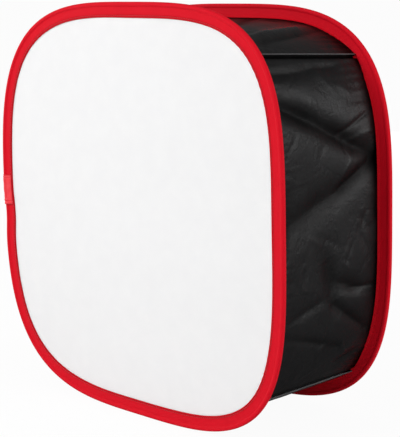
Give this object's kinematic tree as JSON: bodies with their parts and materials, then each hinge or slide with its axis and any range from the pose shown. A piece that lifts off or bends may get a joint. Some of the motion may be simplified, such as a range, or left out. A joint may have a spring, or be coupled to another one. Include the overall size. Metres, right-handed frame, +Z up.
{
  "type": "collapsible softbox",
  "caption": "Pop-up softbox for a flat light panel: a white cloth face and an open rear panel on spring hoops, joined by black cloth walls.",
  "frame": {"origin": "centre of the softbox's box on the surface that its two hoops stand on", "axes": "+Z up, -Y towards the white front face, +Y towards the rear opening for the light, +X to the right when looking at the front face"},
  "size_m": [0.4069, 0.1576, 0.406],
  "materials": {
    "red_tape": "woven polyester edge tape, red, slightly glossy",
    "red_satin": "satin tape end, brighter red, stitched",
    "black_nylon": "coated black nylon with a soft sheen and creases",
    "silver_cloth": "silver reflective cloth",
    "white_cloth": "fine white translucent diffusion cloth",
    "spring_steel": "flat spring steel band",
    "black_tape": "woven black edge tape, matte",
    "black_webbing": "woven black webbing, matte",
    "loop_pile": "soft black loop pile",
    "hook_tape": "black hook tape"
  },
  "bodies": {
    "rear_frame": {"rear_hoop": "spring_steel", "rear_hoop_clip": "spring_steel", "rear_binding": "red_tape", "rear_splice_tab": "red_satin", "rear_panel": "black_nylon", "rear_lining": "silver_cloth", "opening_binding": "black_tape", "upper_strap_anchor": "black_webbing", "lower_strap_anchor": "black_webbing", "upper_loop_pad": "loop_pile", "lower_loop_pad": "loop_pile", "right_wall": "black_nylon", "top_wall": "black_nylon", "left_wall": "black_nylon", "bottom_wall": "black_nylon", "right_lining": "silver_cloth", "top_lining": "silver_cloth", "left_lining": "silver_cloth", "bottom_lining": "silver_cloth", "top_right_sleeve": "black_nylon", "top_left_sleeve": "black_nylon", "bottom_left_sleeve": "black_nylon", "bottom_right_sleeve": "black_nylon", "top_right_stay": "spring_steel", "top_left_stay": "spring_steel", "bottom_left_stay": "spring_steel", "bottom_right_stay": "spring_steel"},
    "front_frame": {"front_hoop": "spring_steel", "front_hoop_clip": "spring_steel", "front_binding": "red_tape", "front_splice_tab": "red_satin", "diffuser": "white_cloth"},
    "upper_flap": {"upper_strap": "black_webbing", "upper_hook_pad": "hook_tape"},
    "lower_flap": {"lower_strap": "black_webbing", "lower_hook_pad": "hook_tape"}
  },
  "joints": [
    {"name": "collapse", "type": "slide", "parent": "rear_frame", "child": "front_frame", "axis": [0, 1, 0], "range_m": [0, 0.135], "stiffness_N_per_m": 40, "springref_m": -0.05, "deforming": ["right_wall", "top_wall", "left_wall", "bottom_wall", "right_lining", "top_lining", "left_lining", "bottom_lining", "top_right_sleeve", "top_left_sleeve", "bottom_left_sleeve", "bottom_right_sleeve", "top_right_stay", "top_left_stay", "bottom_left_stay", "bottom_right_stay"]},
    {"name": "upper_strap_peel", "type": "hinge", "parent": "rear_frame", "child": "upper_flap", "pos_m": [-0.149, 0.0784, 0.26], "axis": [0, 0, 1], "range_deg": [0, 160]},
    {"name": "lower_strap_peel", "type": "hinge", "parent": "rear_frame", "child": "lower_flap", "pos_m": [-0.149, 0.0784, 0.14], "axis": [0, 0, 1], "range_deg": [0, 160]}
  ]
}
